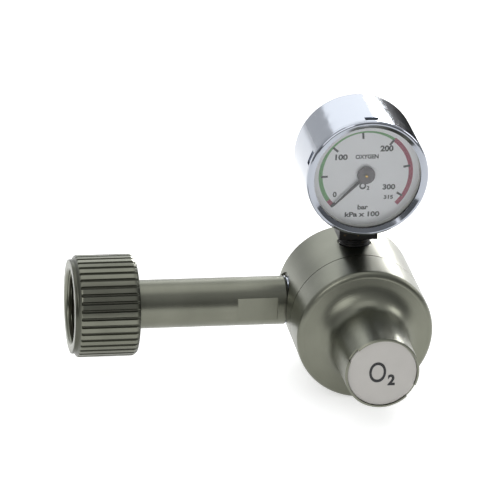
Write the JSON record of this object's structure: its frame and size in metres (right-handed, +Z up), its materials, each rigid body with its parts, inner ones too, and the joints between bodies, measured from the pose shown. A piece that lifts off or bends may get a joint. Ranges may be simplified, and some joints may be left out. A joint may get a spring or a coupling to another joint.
{
  "type": "oxygen pressure regulator",
  "caption": "Medical oxygen pressure regulator: hand-tight inlet union nut and stem, round body with bell bonnet, chrome contents gauge, rear outlet and relief valve.",
  "frame": {"origin": "centre of the inlet collar's sealing face, on the axis of the inlet stem and union nut", "axes": "+X from the inlet along the stem to the body; -Y is the front, where the bonnet and the dial face; +Z up, towards the gauge"},
  "size_m": [0.1157, 0.0846, 0.0937],
  "materials": {
    "satin_nickel": "bead-blasted satin nickel plating on brass",
    "chrome": "polished chrome plating",
    "brass": "machined brass",
    "steel": "machined stainless steel",
    "spring_steel": "drawn spring wire",
    "copper_washer": "soft copper",
    "black_rubber": "moulded rubber",
    "white_plastic": "moulded plastic",
    "sintered_bronze": "sintered bronze",
    "black_brass": "blackened brass",
    "dial_face": "silver lacquered sheet",
    "pointer_black": "black lacquered aluminium",
    "clear_lens": "clear glass",
    "grey_label": "printed satin plastic"
  },
  "bodies": {
    "root": {"body": "satin_nickel", "bonnet": "satin_nickel", "label_cap": "grey_label", "diaphragm": "black_rubber", "clamp_ring": "brass", "main_spring": "spring_steel", "valve_spring": "spring_steel", "valve_plug": "brass", "plug_o_ring": "black_rubber", "inlet_stem": "satin_nickel", "inlet_o_ring": "black_rubber", "inlet_filter": "sintered_bronze", "filter_clip": "spring_steel", "stem_washer": "chrome", "gauge_socket": "black_brass", "gauge_seal": "copper_washer", "gauge_case": "chrome", "case_screws": "steel", "blow_out_plug": "black_rubber", "bourdon_tube": "brass", "rear_plate": "brass", "front_plate": "brass", "plate_pillars": "brass", "movement_screws": "steel", "hairspring": "copper_washer", "dial": "dial_face", "dial_spacer": "white_plastic", "lens_gasket": "black_rubber", "lens": "clear_lens", "bezel": "chrome", "outlet_fitting": "satin_nickel", "outlet_seal": "black_rubber", "relief_body": "satin_nickel", "relief_seal": "black_rubber", "relief_spring": "spring_steel", "relief_cap": "satin_nickel"},
    "slip_ring": {"slip_ring": "brass"},
    "nut": {"union_nut": "satin_nickel"},
    "screw": {"adjusting_screw": "steel", "screw_circlip": "spring_steel"},
    "spring_plate": {"spring_plate": "brass"},
    "diaphragm_centre": {"push_plate": "steel", "diaphragm_washer": "brass"},
    "valve": {"valve_poppet": "brass", "seat_pad": "white_plastic"},
    "sector": {"sector_gear": "brass"},
    "link": {"drive_link": "brass"},
    "pointer": {"pointer_shaft": "brass", "pointer": "pointer_black"},
    "relief": {"relief_poppet": "brass"}
  },
  "joints": [
    {"name": "nut_slide", "type": "slide", "parent": "root", "child": "slip_ring", "axis": [1, 0, 0], "range_m": [0, 0.0465]},
    {"name": "nut_turn", "type": "hinge", "parent": "slip_ring", "child": "nut", "pos_m": [0, 0, 0], "axis": [1, 0, 0], "continuous": true},
    {"name": "screw_turn", "type": "hinge", "parent": "root", "child": "screw", "pos_m": [0.08, -0.05, 0], "axis": [0, 1, 0], "range_deg": [0, 1080]},
    {"name": "spring_plate_slide", "type": "slide", "parent": "root", "child": "spring_plate", "axis": [0, 1, 0], "range_m": [0, 0.00375], "deforming": ["main_spring"]},
    {"name": "diaphragm_travel", "type": "slide", "parent": "root", "child": "diaphragm_centre", "axis": [0, 1, 0], "range_m": [0, 0.0008], "stiffness_N_per_m": 400, "deforming": ["diaphragm"]},
    {"name": "valve_travel", "type": "slide", "parent": "root", "child": "valve", "axis": [0, 1, 0], "range_m": [0, 0.0008], "deforming": ["valve_spring"]},
    {"name": "sector_turn", "type": "hinge", "parent": "root", "child": "sector", "pos_m": [0.0854, -0.006, 0.044], "axis": [0, 1, 0], "range_deg": [-30, 0], "deforming": ["bourdon_tube"]},
    {"name": "link_turn", "type": "hinge", "parent": "sector", "child": "link", "pos_m": [0.0894, -0.0077, 0.0425], "axis": [0, 1, 0], "range_deg": [0, 36]},
    {"name": "pointer_turn", "type": "hinge", "parent": "root", "child": "pointer", "pos_m": [0.08, -0.0176, 0.0512], "axis": [0, 1, 0], "range_deg": [0, 270.1], "deforming": ["hairspring"]},
    {"name": "relief_travel", "type": "slide", "parent": "root", "child": "relief", "axis": [0, 1, 0], "range_m": [0, 0.0012], "stiffness_N_per_m": 300, "deforming": ["relief_spring"]}
  ],
  "couplings": [
    {"joint": "spring_plate_slide", "follows": "screw_turn", "m_per_rad": 0.00019894},
    {"joint": "valve_travel", "follows": "diaphragm_travel", "ratio": 1},
    {"joint": "pointer_turn", "follows": "sector_turn", "ratio": -9},
    {"joint": "link_turn", "follows": "sector_turn", "ratio": -1.177}
  ]
}
